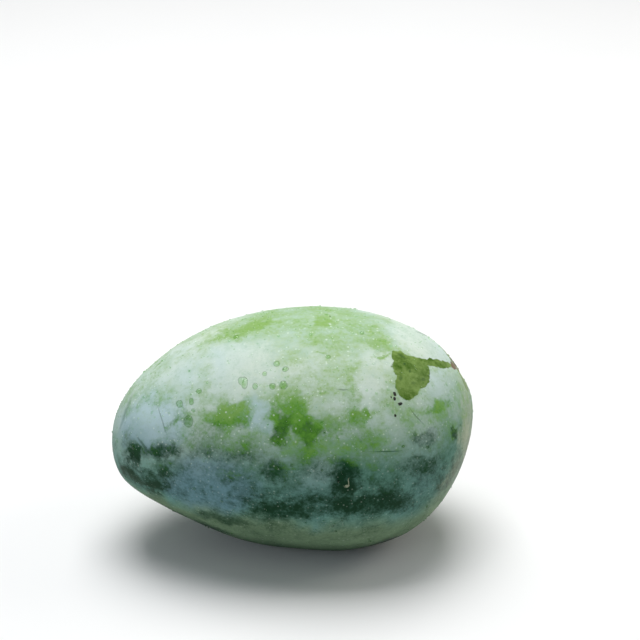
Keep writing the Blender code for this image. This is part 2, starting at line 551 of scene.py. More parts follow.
# Each has its kind, its pixel across and down, its half sizes in pixels, its turn in degrees, its
# strength, and how much of it the fading edge takes up
SEEN_PATCHES = (
    # The crown of the fruit, from the left
    Seen(Kind.YELLOW, 240, 327, 32, 10, 14, 0.7),
    Seen(Kind.RUBBED, 240, 331, 34, 6, 20, 0.40, 0.6),
    Seen(Kind.RUBBED, 272, 321, 14, 4, 10, 0.15),
    Seen(Kind.RUBBED, 324, 320, 10, 6, 0, 0.44),
    Seen(Kind.YELLOW, 324, 322, 14, 8, 0, 0.8),
    Seen(Kind.BLOOM, 248, 364, 32, 26, 5, 0.50, 0.7),
    Seen(Kind.BLOOM, 300, 350, 22, 10, 0, 0.20),
    Seen(Kind.BLOOM, 180, 374, 24, 14, 35, 0.30),
    Seen(Kind.RUBBED, 209, 371, 10, 6, 0, 0.15),
    Seen(Kind.RUBBED, 375, 344, 20, 5, -8, 0.25),
    Seen(Kind.RUBBED, 362, 331, 18, 4, -8, 0.18),
    Seen(Kind.BLOOM, 420, 342, 36, 13, -28, 0.55),
    Seen(Kind.BLOOM, 444, 356, 12, 10, -40, 0.30),
    Seen(Kind.RUBBED, 322, 352.5, 6, 1.6, 0, 0.30, 0.6),
    Seen(Kind.RUBBED, 383, 354.5, 7, 1.5, -3, 0.40, 0.6),
    Seen(Kind.RUBBED, 318, 386, 46, 14, 5, 0.16, 0.8),
    Seen(Kind.YELLOW, 318, 380, 46, 16, 5, 0.20, 0.8),
    # The left end
    # Bluish bloom at the left end, partly painted reflection of bluish light
    Seen(Kind.COOL, 150, 425, 34, 26, 0, 1.0),
    Seen(Kind.BLOOM, 146, 425, 20, 18, 0, 0.40),
    Seen(Kind.BLOOM, 116, 440, 8, 28, 5, 0.30),
    Seen(Kind.RUBBED, 156, 396, 22, 12, 10, 0.16),
    Seen(Kind.SCRATCH, 128.5, 404, 1.3, 10, -20, 0.30, 0.8),
    Seen(Kind.SCRATCH, 122.5, 421, 1.1, 10, -20, 0.30, 0.8),
    Seen(Kind.RUBBED, 158, 367, 1.5, 5, -50, 0.40, 0.6),
    Seen(Kind.RUBBED, 184, 417, 10, 8, 30, 0.32),
    Seen(Kind.RUBBED, 173, 425, 8, 3, 40, 0.35),
    Seen(Kind.DEEP, 135, 457, 9, 14, 8, 0.15, 0.6),
    Seen(Kind.RUBBED, 135, 456, 8, 11, 8, 0.48, 0.5),
    Seen(Kind.DEEP, 166, 451, 19, 9, -5, 0.22, 0.6),
    Seen(Kind.RUBBED, 166, 451, 18, 7, -5, 0.36, 0.6),
    Seen(Kind.DEEP, 158, 484, 15, 9, -10, 0.32, 0.6),
    Seen(Kind.RUBBED, 158, 486, 15, 7, -10, 0.50, 0.55),
    Seen(Kind.RUBBED, 157, 472, 11, 6, 0, 0.24, 0.7),
    Seen(Kind.BLOOM, 150, 465, 12, 5, -10, 0.35),
    Seen(Kind.DEEP, 132, 477, 14, 6, -35, 0.7),
    Seen(Kind.RUBBED, 132, 476, 13, 5, -35, 0.45),
    # The middle
    Seen(Kind.RUBBED, 230, 415, 22, 14, 10, 0.70),
    Seen(Kind.YELLOW, 228, 411, 18, 10, 10, 0.45),
    Seen(Kind.RUBBED, 208, 436, 24, 14, -5, 0.22),
    Seen(Kind.BLOOM, 257, 412, 13, 14, -10, 0.22),
    Seen(Kind.COOL, 257, 414, 16, 16, 0, 0.8),
    Seen(Kind.RUBBED, 290, 414, 19, 18, 0, 0.62),
    Seen(Kind.RUBBED, 281, 432, 10, 13, 0, 0.50),
    Seen(Kind.DEEP, 281, 432, 12, 14, 0, 0.24, 0.6),
    Seen(Kind.DEEP, 311, 435, 11, 12, 0, 0.20, 0.6),
    Seen(Kind.RUBBED, 309, 431, 10, 13, 0, 0.55),
    Seen(Kind.RUBBED, 352, 402, 9, 18, 0, 0.20),
    Seen(Kind.RUBBED, 360, 418, 14, 9, 0, 0.40),
    Seen(Kind.RUBBED, 367, 412, 4, 9, 0, 0.40),
    Seen(Kind.BLOOM, 366, 394, 9, 20, 5, 0.25),
    Seen(Kind.RUBBED, 330, 428, 16, 12, 0, 0.25),
    Seen(Kind.RUBBED, 249, 449, 15, 13, 0, 0.30, 0.7),
    Seen(Kind.RUBBED, 309, 454, 14, 14, 0, 0.22, 0.7),
    Seen(Kind.RUBBED, 369, 440, 14, 10, 0, 0.22, 0.7),
    Seen(Kind.BLOOM, 325, 405, 18, 9, 5, 0.12),
    # The right, round the washed patch
    Seen(Kind.BLOOM, 378, 372, 16, 18, 0, 0.20),
    Seen(Kind.BLOOM, 440, 385, 17, 12, 0, 0.16),
    Seen(Kind.COOL, 440, 388, 22, 18, 0, 0.25),
    Seen(Kind.RUBBED, 437, 406, 14, 5, 32, 0.35),
    Seen(Kind.RUBBED, 455, 434, 5, 7, 10, 0.45, 0.4),
    Seen(Kind.DEEP, 455, 434, 5, 7, 10, 0.20, 0.4),
    Seen(Kind.RUBBED, 424, 437, 14, 7, 0, 0.32),
    Seen(Kind.DEEP, 424, 437, 14, 7, 0, 0.3),
    # Below the middle
    # Bluish bloom below the middle, partly painted reflection of bluish light
    Seen(Kind.COOL, 210, 488, 44, 28, 0, 1.0),
    Seen(Kind.BLOOM, 210, 490, 34, 21, 0, 0.30, 0.7),
    Seen(Kind.DEEP, 215, 458, 34, 10, 0, 0.35),
    Seen(Kind.DEEP, 272, 470, 15, 12, 0, 0.15),
    Seen(Kind.RUBBED, 272, 470, 14, 11, 0, 0.40),
    Seen(Kind.RUBBED, 229, 481, 7, 4, 0, 0.20),
    Seen(Kind.DEEP, 346, 479, 14, 15, -20, 0.30, 0.6),
    Seen(Kind.RUBBED, 346, 478, 13, 16, -20, 0.50, 0.6),
    Seen(Kind.WARM, 347.7, 482, 4.0, 0.8, 50, 1.4, 0.5),
    Seen(Kind.RUBBED, 337, 461, 10, 6, 0, 0.35),
    Seen(Kind.DEEP, 218, 517, 26, 7, -10, 0.5),
    Seen(Kind.RUBBED, 218, 517, 24, 6, -10, 0.40, 0.7),
    Seen(Kind.DEEP, 288, 508, 46, 12, 3, 0.4),
    Seen(Kind.RUBBED, 282, 510, 42, 9, 8, 0.36, 0.8),
    Seen(Kind.DEEP, 366, 504, 28, 10, 3, 0.4),
    Seen(Kind.RUBBED, 358, 506, 30, 12, -5, 0.38, 0.8),
    Seen(Kind.RUBBED, 395, 498, 14, 10, -10, 0.25, 0.8),
    Seen(Kind.DEEP, 318, 474, 22, 9, 0, 0.2, 0.8),
    Seen(Kind.RUBBED, 316, 476, 18, 7, 10, 0.22, 0.8),
    Seen(Kind.BLOOM, 354, 498, 7, 5, 0, 0.3),
    Seen(Kind.DEEP, 420, 470, 22, 18, 0, 0.2),
    Seen(Kind.RUBBED, 420, 466, 20, 9, 0, 0.2),
    Seen(Kind.BLOOM, 405, 484, 10, 5, 5, 0.2),
    Seen(Kind.DEEP, 300, 535, 90, 12, 0, 0.6),
    # Bloom washed away by sap that ran from the stem
    Seen(Kind.SAP, 411, 368, 20, 12.5, -10, 1.0, 0.30),
    Seen(Kind.SAP, 409, 383, 13, 17, -10, 1.0, 0.30),
    Seen(Kind.SAP, 419, 378, 11, 11, 0, 1.0, 0.30),
    Seen(Kind.SAP, 437, 363.2, 19, 3.8, -10, 1.0, 0.35),
    Seen(Kind.SAP, 399, 357, 8, 6, -30, 1.0, 0.35),
    # The rim at the stem end, with a painted warm sheen and rim light
    Seen(Kind.WARM, 468, 412, 9, 44, 0, 0.8, 0.7),
    Seen(Kind.WARM, 463, 448, 9, 30, -20, 0.6, 0.8),
    Seen(Kind.WARM, 447, 490, 9, 28, -40, 0.5, 0.8),
    # Cork and scratches
    Seen(Kind.CORK, 453.5, 366.0, 4.5, 2.0, -50, 1.0, 0.5),
    Seen(Kind.SCRATCH, 162, 420, 0.7, 13, 16, 0.45, 0.5),
    Seen(Kind.SCRATCH, 144, 446, 11, 1.2, -48, 0.6, 0.5),
    Seen(Kind.SCRATCH, 417, 417, 10.5, 0.6, -48, 0.5, 0.5),
    Seen(Kind.SCRATCH, 387, 451.3, 14, 0.6, 3, 0.7, 0.5),
    Seen(Kind.SCRATCH, 343, 389.5, 5, 0.8, 5, 0.5, 0.6),
    Seen(Kind.SCRATCH, 423, 334, 8, 0.8, -25, 0.45, 0.6),
    Seen(Kind.SCRATCH, 418.5, 457, 7, 1.2, -4, 0.6, 0.6),
    Seen(Kind.SCRATCH, 402, 356, 5, 1.3, -30, 0.5, 0.6),
    Seen(Kind.SCRATCH, 404.6, 364, 1.4, 1.2, 0, 0.7, 0.5),
    Seen(Kind.SCRATCH, 410, 371, 1.3, 1.2, 0, 0.6, 0.5),
    Seen(Kind.SCRATCH, 400.6, 378, 1.8, 2.4, 0, 0.5, 0.6),
    Seen(Kind.SCRATCH, 423, 379, 2.0, 1.8, 0, 0.5, 0.6),
    Seen(Kind.SCRATCH, 413, 383, 2.0, 1.6, 0, 0.4, 0.6),
)


@dataclass(frozen=True)
class Spot:
    """An oval spot on the side that the photo shows, by its pixel and its half sizes in pixels."""

    across: float
    down: float
    half_width: float
    half_height: float


@dataclass(frozen=True)
class Drop(Spot):
    """A drop of water, and how wet it makes the skin under it."""

    wetness: float = 0.75

    # How far the skin is wet round a drop, against its own size, and how much of that fades
    WET_REACH = 1.05
    WET_SOFT = 0.35

    def wet_skin(self) -> Seen:
        """Makes the patch of skin that shows greener through the drop, with a dark line round it that
        is a painted dark reflection at the drop's rim.

        Returns:
            The patch.
        """
        return Seen(
            Kind.WET,
            self.across,
            self.down,
            self.WET_REACH * self.half_width,
            self.WET_REACH * self.half_height,
            strength=self.wetness,
            soft=self.WET_SOFT,
        )


# Those without wetness lie on bloom that still shows through them
DROPS = (
    Drop(283.1, 385.0, 3.3, 3.5, wetness=0.95),
    Drop(272.4, 386.2, 2.6, 2.6, wetness=0.95),
    Drop(264.6, 373.6, 2.0, 2.0, wetness=0.95),
    Drop(241.6, 381.0, 2.9, 3.3),
    Drop(244.6, 382.8, 2.6, 5.2),
    Drop(255.0, 386.2, 2.4, 2.6),
    Drop(276.6, 364.0, 2.8, 2.3),
    Drop(285.2, 369.2, 2.6, 2.2),
    Drop(188.5, 421.5, 4.0, 5.0, wetness=0.95),
    Drop(179.4, 403.7, 2.8, 3.2),
    Drop(198.8, 391.2, 2.6, 2.2),
    Drop(191.2, 401.5, 2.0, 3.0),
    Drop(193.5, 410.5, 1.7, 1.7),
    Drop(151.8, 412.5, 1.6, 1.6, wetness=0.0),
    Drop(236.0, 337.0, 2.2, 1.8),
    Drop(133.5, 447.5, 1.5, 2.0),
    Drop(459.2, 367.3, 1.1, 1.1),
    Drop(446.5, 384.5, 1.4, 1.4, wetness=0.0),
    Drop(392.8, 412.0, 1.5, 2.0, wetness=0.0),
    Drop(328.0, 357.0, 2.2, 1.6),
    Drop(362.0, 333.0, 1.8, 1.4),
    Drop(278.0, 443.0, 1.5, 1.8),
    Drop(324.5, 433.0, 1.3, 1.3),
    Drop(291.5, 465.5, 1.4, 1.4),
    Drop(427.5, 447.0, 1.8, 1.5),
    Drop(403.0, 446.5, 1.5, 1.2),
)


@dataclass(frozen=True)
class Unseen:
    """A patch on the side that the photo hides, by its direction from the fruit's middle."""

    kind: Kind
    round_deg: float
    out_deg: float
    half_width: float
    half_height: float
    strength: float = 1.0
    soft: float = 0.5

    # How far a patch reaches into the fruit
    DEPTH = 0.016

    def put(self, skin: BVHTree) -> Patch:
        """Places the patch on the skin.

        Args:
            skin: The skin's faces.

        Returns:
            The placed patch.
        """
        point, normal = skin_towards(skin, fruit_way(self.round_deg, self.out_deg))
        lean_deg = math.degrees(math.atan2(-normal.y, normal.z))
        lean_deg = UNSEEN_TURN_STEP_DEG * round(lean_deg / UNSEEN_TURN_STEP_DEG)
        axes = Matrix.Rotation(math.radians(lean_deg), 3, "X")
        reach = Vector((self.half_width, self.half_height, self.DEPTH))
        return Patch(self.kind, point, axes, reach, self.strength, self.soft)


STEM_PATCHES = (
    Unseen(Kind.CORK, STEM_ROUND_DEG, STEM_OUT_DEG, 0.0036, 0.0036, 0.75, 0.30),
    Unseen(Kind.SAP, STEM_ROUND_DEG - 2, STEM_OUT_DEG + 3, 0.0075, 0.0042, 1.0, 0.12),
    Unseen(Kind.CORK, 196, -14, 0.0011, 0.0008, 0.9, 0.5),
    Unseen(Kind.YELLOW, STEM_ROUND_DEG, STEM_OUT_DEG, 0.016, 0.014, 0.5, 0.6),
)


@dataclass(frozen=True)
class DrawnPatches:
    """Patches drawn for the side that the photo hides, like those on the side that it shows."""

    seed: int = 11
    count: int = 28
    kinds: tuple[Kind, ...] = (
        Kind.RUBBED, Kind.RUBBED, Kind.BLOOM, Kind.BLOOM, Kind.DEEP, Kind.YELLOW, Kind.COOL,
    )
    round_deg: Range = (0.0, 360.0)
    out_sine: Range = (0.05, 0.95)
    half_width: Range = (0.004, 0.014)
    half_height: Range = (0.003, 0.008)
    strength: Range = (0.25, 0.6)

    def make(self) -> list[Unseen]:
        """Draws the patches, of each kind in turn.

        Returns:
            The patches.
        """
        draw = random.Random(self.seed)
        return [
            Unseen(
                self.kinds[number % len(self.kinds)],
                draw.uniform(*self.round_deg),
                -math.degrees(math.asin(draw.uniform(*self.out_sine))),
                draw.uniform(*self.half_width),
                draw.uniform(*self.half_height),
                draw.uniform(*self.strength),
            )
            for number in range(self.count)
        ]


@dataclass(frozen=True)
class SkinFields:
    """The numbers that vary over the skin, which its finish is mixed from."""

    total: dict[Kind, Field]
    broad: Field
    middling: Field
    fine: Field
    grain: Field
    height: Field
    low: Field
    crown: Field
    belt: Field
    reflection_foot: Field


@dataclass(frozen=True)
class SkinFinish:
    """Green skin, glossy where it is bare, under a pale matte bloom, with fine pale dots, and with
    painted shade, reflections and sheen mixed into its colours.
    """

    yellow_green: Colour = (0.25, 0.43, 0.120)
    mid_green: Colour = (0.115, 0.31, 0.038)
    deep_green: Colour = (0.007, 0.058, 0.015)
    # The darkest green of the skin, also laid on the underside as painted shade
    darkest_green_and_shade: Colour = (0.002, 0.034, 0.011)
    # Bluish bloom, partly painted reflection of bluish light
    cool_bloom_and_reflection: Colour = (0.52, 0.67, 0.70)
    plain_bloom: Colour = (0.66, 0.75, 0.66)
    # Painted shade: the bloom as it looks over the lower part of the fruit, plain and bluish
    shaded_low_bloom: Colour = (0.138, 0.308, 0.240)
    shaded_low_cool_bloom: Colour = (0.140, 0.268, 0.300)
    # Painted reflection of the floor in the lowest band of the fruit
    floor_reflection_bloom: Colour = (0.20, 0.30, 0.18)
    sap_pale: Colour = (0.21, 0.325, 0.085)
    sap_deep: Colour = (0.055, 0.13, 0.010)
    cork: Colour = (0.17, 0.085, 0.04)
    # Painted warm sheen and rim light
    cream_sheen: Colour = (0.52, 0.55, 0.38)
    # Thin bloom; over the crown it is partly painted shade
    thin_bloom: Colour = (0.40, 0.56, 0.44)
    # Pale dots: breathing dots, partly painted glints of mist
    dot: Colour = (0.70, 0.82, 0.70)
    # Painted dark reflection round the drops' rims
    drop_rim_reflection: Colour = (0.070, 0.17, 0.055)

    # Noise of the bloom, and how much it is twisted or drawn out
    broad_cloud: Cloud = (0.030, 3.0, 0.55)
    broad_wring: float = 0.4
    middling_cloud: Cloud = (0.010, 6.0, 0.68)
    streak: tuple[float, float, float] = (0.62, 1.0, 1.15)
    fine_cloud: Cloud = (0.0034, 5.0, 0.78)
    grain_cloud: Cloud = (0.0011, 2.0, 0.6)

    # How uneven the edges of patches are
    close_wobble: Wobble = (0.0020, 0.0005)
    loose_wobble: Wobble = (0.0026, 0.0010)
    wide_wobble: Wobble = (0.008, 0.0022)
    straight_wobble: Wobble = (0.004, 0.0002)

    # Heights between which the fruit's zones fade; the low one, where painted shade darkens the lower
    # part of the fruit, rises towards the tip
    shaded_low_zone: Fade = (0.083, 0.047)
    low_slope: float = 0.16
    # The crown, whose thinner, greener bloom is partly painted shade
    crown_zone: Fade = (0.086, 0.096)
    belt_top: Fade = (0.056, 0.044)
    belt_bottom: Fade = (0.028, 0.037)
    # The lowest band of the fruit, which holds a painted reflection of the floor
    floor_reflection_zone: Fade = (0.036, 0.024)
    # Heights of the painted shade on the underside, near the floor, and its strength
    shade_zone: Fade = (0.017, 0.007)
    shade: float = 0.7

    # How thick the bloom is, and how much it hides
    bloom_start: float = 0.60
    bloom_fade: Fade = (-0.08, 0.95)
    most_bloom: float = 0.95

    # How much the smaller marks hide
    # Pale dots, partly painted glints of mist
    dot_cover: float = 0.62
    # Fewer pale dots where painted shade lies low
    shaded_low_dot_loss: float = 0.48
    # How much of the painted dark reflection round the drops shows
    drop_rim_reflection_cover: float = 0.46
    scratch_cover: float = 0.85
    cork_cover: float = 0.85
    # How much of the painted warm sheen and rim light shows
    cream_sheen_cover: float = 0.75

    # Gloss and relief
    bare_roughness: float = 0.34
    bloom_roughness: float = 0.30
    specular: float = 0.09
    pore_cloud: Cloud = (0.0040, 2.0, 0.6)
    relief_strength: float = 0.5
    relief_height: float = 0.00012

    def make(self, patches: list[Patch]) -> bpy.types.Material:
        """Makes the skin's material.

        Args:
            patches: The patches that are laid on it.

        Returns:
            The material.
        """
        skin = Shading("mango_skin")
        over = self._fields(skin, patches)
        bloom = self._thickness(over).step(*self.bloom_fade, self.most_bloom)
        colour = skin.blend(self._green(skin, over), self._wax(skin, over), bloom)
        # Painted shade on the underside, near the floor
        shade = over.height.step(*self.shade_zone, self.shade)
        colour = skin.blend(colour, self.darkest_green_and_shade, shade)
        # Painted warm sheen and rim light
        cream_sheen = (over.total[Kind.WARM] * (0.7 + 1.5 * over.fine)).step(0.0, 1.2, self.cream_sheen_cover)
        colour = skin.blend(colour, self.cream_sheen, cream_sheen)
        dots = self._dots(skin)
        # Fewer pale dots where painted shade lies low
        dots_shown = (self.dot_cover - self.shaded_low_dot_loss * over.low) * dots
        colour = skin.blend(colour, self.dot, dots_shown)
        washed = (over.total[Kind.SAP] + 0.9 * over.fine).step(0.40, 0.58)
        colour = self._marked(skin, over, colour, washed)

        bare = 1.0 - bloom.least(1.0 - washed)
        relief = 0.6 * over.grain + skin.mottle(*self.pore_cloud)
        bump = skin.node(
            "ShaderNodeBump",
            {},
            {"Strength": self.relief_strength, "Distance": self.relief_height, "Height": relief},
        )
        skin.set(
            Base_Color=colour,
            Roughness=(
                self.bare_roughness + self.bloom_roughness * (1.0 - bare) + 0.10 * over.fine
            ),
            Specular_IOR_Level=self.specular,
            Normal=bump.outputs["Normal"],
        )
        return skin.material

    def _fields(self, skin: Shading, patches: list[Patch]) -> SkinFields:
        """Adds up the patches, and makes the noise and the zones.

        Args:
            skin: The skin's nodes.
            patches: The patches that are laid on it.

        Returns:
            The numbers that vary over the skin.
        """
        close = skin.warp(*self.close_wobble)
        loose = skin.warp(*self.loose_wobble, skin.warp(*self.wide_wobble))
        straight = skin.warp(*self.straight_wobble)
        places = {
            Kind.SAP: close, Kind.CORK: close, Kind.SCRATCH: straight, Kind.WET: straight
        }
        total = {
            kind: self._total(skin, patches, kind, places.get(kind, loose)) for kind in Kind
        }
        broad = skin.mottle(*self.broad_cloud, wring=self.broad_wring)
        streaked = skin.node(
            "ShaderNodeVectorMath", {"operation": "MULTIPLY"}, {0: skin.here, 1: self.streak}
        )
        middling = skin.mottle(*self.middling_cloud, streaked.outputs[0])
        fine = skin.mottle(*self.fine_cloud)
        grain = skin.mottle(*self.grain_cloud)
        place = skin.node("ShaderNodeSeparateXYZ", {}, {0: skin.here})
        height = Field(skin, place.outputs["Z"])
        towards_tip = Field(skin, place.outputs["X"]).least(0.0)
        # low is where painted shade darkens the lower part of the fruit
        low = (height - self.low_slope * towards_tip + 0.03 * broad).step(*self.shaded_low_zone)
        # crown is the top of the fruit, partly darkened as painted shade
        crown = height.step(*self.crown_zone)
        belt = height.step(*self.belt_top) * height.step(*self.belt_bottom)
        # The lowest band, where a painted reflection of the floor lies
        reflection_foot = (height + 0.03 * broad).step(*self.floor_reflection_zone)
        return SkinFields(
            total, broad, middling, fine, grain, height, low=low, crown=crown, belt=belt, reflection_foot=reflection_foot
        )

    def _thickness(self, over: SkinFields) -> Field:
        """Works out how thick the bloom is: thinner on the crown, partly as painted shade, in the belt
        and where it is rubbed.

        Args:
            over: The numbers that vary over the skin.

        Returns:
            The thickness, of which bloom_fade says how much hides the skin.
        """
        return (
            self.bloom_start - 0.02 * over.low - 0.16 * over.crown - 0.20 * over.belt
            + 0.6 * over.broad + (1.3 - 0.6 * over.reflection_foot) * over.middling
            + (1.4 - 0.8 * over.reflection_foot) * over.fine + 0.5 * over.grain
            + over.total[Kind.BLOOM] - over.total[Kind.RUBBED] - 0.3 * over.total[Kind.WET]
        )

    def _green(self, skin: Shading, over: SkinFields) -> bpy.types.NodeSocket:
        """Mixes the skin's green, which is deeper the lower it lies: partly its own colour, partly
        painted shade.

        Args:
            skin: The skin's nodes.
            over: The numbers that vary over it.

        Returns:
            The colour's socket.
        """
        # Deeper green lower down, partly painted shade
        depth = (
            (2.75 - 34.0 * over.height).most(1.80 - 19.0 * over.height) + 1.1 * over.middling
            + 1.1 * over.fine + over.total[Kind.DEEP] - 0.6 * over.total[Kind.YELLOW]
        )
        stops = [
            (0.0, self.yellow_green),
            (0.38, self.mid_green),
            (0.78, self.deep_green),
            (1.0, self.darkest_green_and_shade),
        ]
        return skin.ramp(0.8 * depth, stops)

    def _wax(self, skin: Shading, over: SkinFields) -> bpy.types.NodeSocket:
        """Mixes the bloom's colour: bluer in bluish patches, partly as painted reflection, greener
        where it is thin, darker and greener where it lies low, as painted shade, and olive in the
        lowest band, as a painted reflection of the floor.

        Args:
            skin: The skin's nodes.
            over: The numbers that vary over it.

        Returns:
            The colour's socket.
        """
        # Bluish bloom, partly painted reflection of bluish light
        cool_and_reflection = (
            over.total[Kind.COOL] + 0.35 - 0.22 * over.low + 1.2 * over.broad
            - 3.0 * (over.height - 0.05)
        ).step(0.0, 1.0)
        wax = skin.blend(self.plain_bloom, self.cool_bloom_and_reflection, cool_and_reflection)
        # Thinner bloom, laid on the crown partly as painted shade
        thin = (
            0.22 + 0.70 * over.crown + 1.8 * over.fine - 1.4 * over.middling + 0.8 * over.grain
        ).step(0.0, 1.0, 0.8)
        wax = skin.blend(wax, self.thin_bloom, thin)
        # Painted shade: darker, greener bloom over the lower part of the fruit
        shaded_low_wax = skin.blend(self.shaded_low_bloom, self.shaded_low_cool_bloom, cool_and_reflection)
        wax = skin.blend(wax, shaded_low_wax, over.low)
        # Painted reflection of the floor in the lowest band
        return skin.blend(wax, self.floor_reflection_bloom, over.reflection_foot)

    def _marked(
        self, skin: Shading, over: SkinFields, colour: bpy.types.NodeSocket, washed: Field
    ) -> bpy.types.NodeSocket:
        """Lays the marks on top: what sap washed bare, scratches, the painted dark reflections round
        the edges of drops, and cork.

        Args:
            skin: The skin's nodes.
            over: The numbers that vary over it.
            colour: The colour under the marks.
            washed: Where sap has washed the bloom away.

        Returns:
            The colour's socket.
        """
        sap_tone = (0.5 + 2.6 * over.middling + 1.8 * over.fine).step(0.0, 1.0)
        sap = skin.blend(self.sap_pale, self.sap_deep, sap_tone)
        colour = skin.blend(colour, sap, washed)
        scratched = over.total[Kind.SCRATCH].least(1.0) * self.scratch_cover
        colour = skin.blend(colour, self.deep_green, scratched)
        wet = over.total[Kind.WET]
        # Painted dark reflection round each drop's rim
        painted_drop_rim = wet.step(0.02, 0.20) * wet.step(0.70, 0.40)
        colour = skin.blend(colour, self.drop_rim_reflection, self.drop_rim_reflection_cover * painted_drop_rim)
        brown = (over.total[Kind.CORK] + 0.25 * over.fine).step(0.25, 0.60)
        return skin.blend(colour, self.cork, brown * self.cork_cover)

    @staticmethod
    def _total(
        skin: Shading, patches: list[Patch], kind: Kind, at: bpy.types.NodeSocket
    ) -> Field:
        """Adds up the patches of one kind, keeping the strongest where sap patches meet.

        Args:
            skin: The skin's nodes.
            patches: The patches of every kind.
            kind: The kind.
            at: The places that they are read at.

        Returns:
            The sum.
        """
        total = Field(skin, skin.node("ShaderNodeValue").outputs[0]) * 0.0
        for patch in patches:
            if patch.kind is kind:
                mask = patch.mask(skin, at)
                total = total.most(mask) if kind is Kind.SAP else total + mask
        return total

    @staticmethod
    def _dots(skin: Shading) -> Field:
        """Makes the small pale dots that cover the skin: breathing dots, and partly painted glints of
        the finest mist.

        Args:
            skin: The skin's nodes.

        Returns:
            Where the dots are, from 0 to 1.
        """
        apart = 0.0017
        cells = skin.node(
            "ShaderNodeTexVoronoi", {}, {"Vector": skin.here, "Scale": 1.0 / apart, "Randomness": 1.0}
        )
        parts = skin.node("ShaderNodeSeparateColor", {}, {"Color": cells.outputs["Color"]})
        size = Field(skin, parts.outputs[0])
        away = Field(skin, cells.outputs["Distance"])
        return (0.06 + 0.22 * size - away).step(0.0, 0.10)


@dataclass(frozen=True)
class CorkFinish:
    """Dry brown cork, darker in its cracks and pits."""

    pale: Colour = (0.36, 0.20, 0.10)
    brown: Colour = (0.16, 0.075, 0.035)
    dark: Colour = (0.030, 0.017, 0.011)

    def make(self) -> bpy.types.Material:
        """Makes the cork's material.

        Returns:
            The material.
        """
        cork = Shading("stem_cork")
        grain = cork.mottle(0.0012, 5.0, 0.7)
        patches = cork.mottle(0.0035, 3.0)
        cells = cork.node("ShaderNodeTexVoronoi", {"feature": "DISTANCE_TO_EDGE"}, {"Scale": 900.0})
        cracks = Field(cork, cells.outputs["Distance"]).step(0.10, 0.02)
        tone = 0.5 + 1.2 * grain + 1.4 * patches + 0.35 * cracks
        bump = cork.node(
            "ShaderNodeBump", {}, {"Strength": 0.8, "Distance": 0.0002, "Height": grain - 0.4 * cracks}
        )
        cork.set(
            Base_Color=cork.ramp(tone, [(0.1, self.pale), (0.5, self.brown), (1.0, self.dark)]),
            Roughness=0.8 + 0.2 * grain,
            Normal=bump.outputs["Normal"],
        )
        return cork.material


@dataclass(frozen=True)
class SootFinish:
    """Sooty black specks with a brown edge."""

    dark: Colour = (0.008, 0.012, 0.008)
    brown: Colour = (0.05, 0.045, 0.025)

    def make(self) -> bpy.types.Material:
        """Makes the specks' material.

        Returns:
            The material.
        """
        soot = Shading("sooty_mould")
        grain = soot.mottle(0.0008, 3.0)
        soot.set(
            Base_Color=soot.blend(self.dark, self.brown, (0.4 + 1.5 * grain).step(0.2, 0.9)),
            Roughness=0.75 + 0.2 * grain,
        )
        return soot.material


@dataclass(frozen=True)
class WaterFinish:
    """Clear water."""

    tint: Colour = (0.62, 0.78, 0.58)
    roughness: float = 0.03

    def make(self) -> bpy.types.Material:
        """Makes the water's material.

        Returns:
            The material.
        """
        water = Shading("water")
        ripple = water.mottle(0.002, 1.0)
        water.set(
            Base_Color=self.tint,
            Roughness=(self.roughness + 0.03 * ripple).most(0.01),
            IOR=1.33,
            Transmission_Weight=1.0,
        )
        return water.material


@dataclass(frozen=True)
class FloorFinish:
    """Pale matte studio paper."""

    pale: Colour = (0.88, 0.88, 0.875)
    paler: Colour = (0.90, 0.90, 0.895)

    def make(self) -> bpy.types.Material:
        """Makes the floor's material.

        Returns:
            The material.
        """
        floor = Shading("studio_paper")
        tone = (0.5 + floor.mottle(0.25, 3.0)).step(0.2, 0.8)
        floor.set(Base_Color=floor.blend(self.pale, self.paler, tone), Roughness=0.9)
        return floor.material


def add_piece(name: str, mesh: bmesh.types.BMesh, finish: bpy.types.Material) -> bpy.types.Object:
    """Makes an object of a mesh that already lies in its place, and lets it ride on the fruit.

    Args:
        name: The piece's name.
        mesh: Its mesh, which is freed.
        finish: Its material.

    Returns:
        The new object.
    """
    data = bpy.data.meshes.new(name)
    mesh.to_mesh(data)
    mesh.free()
    data.shade_smooth()
    data.materials.append(finish)
    piece = bpy.data.objects.new(name, data)
    bpy.context.scene.collection.objects.link(piece)
    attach(piece, BODY)
    log.info("%s: %d faces", name, len(data.polygons))
    return piece


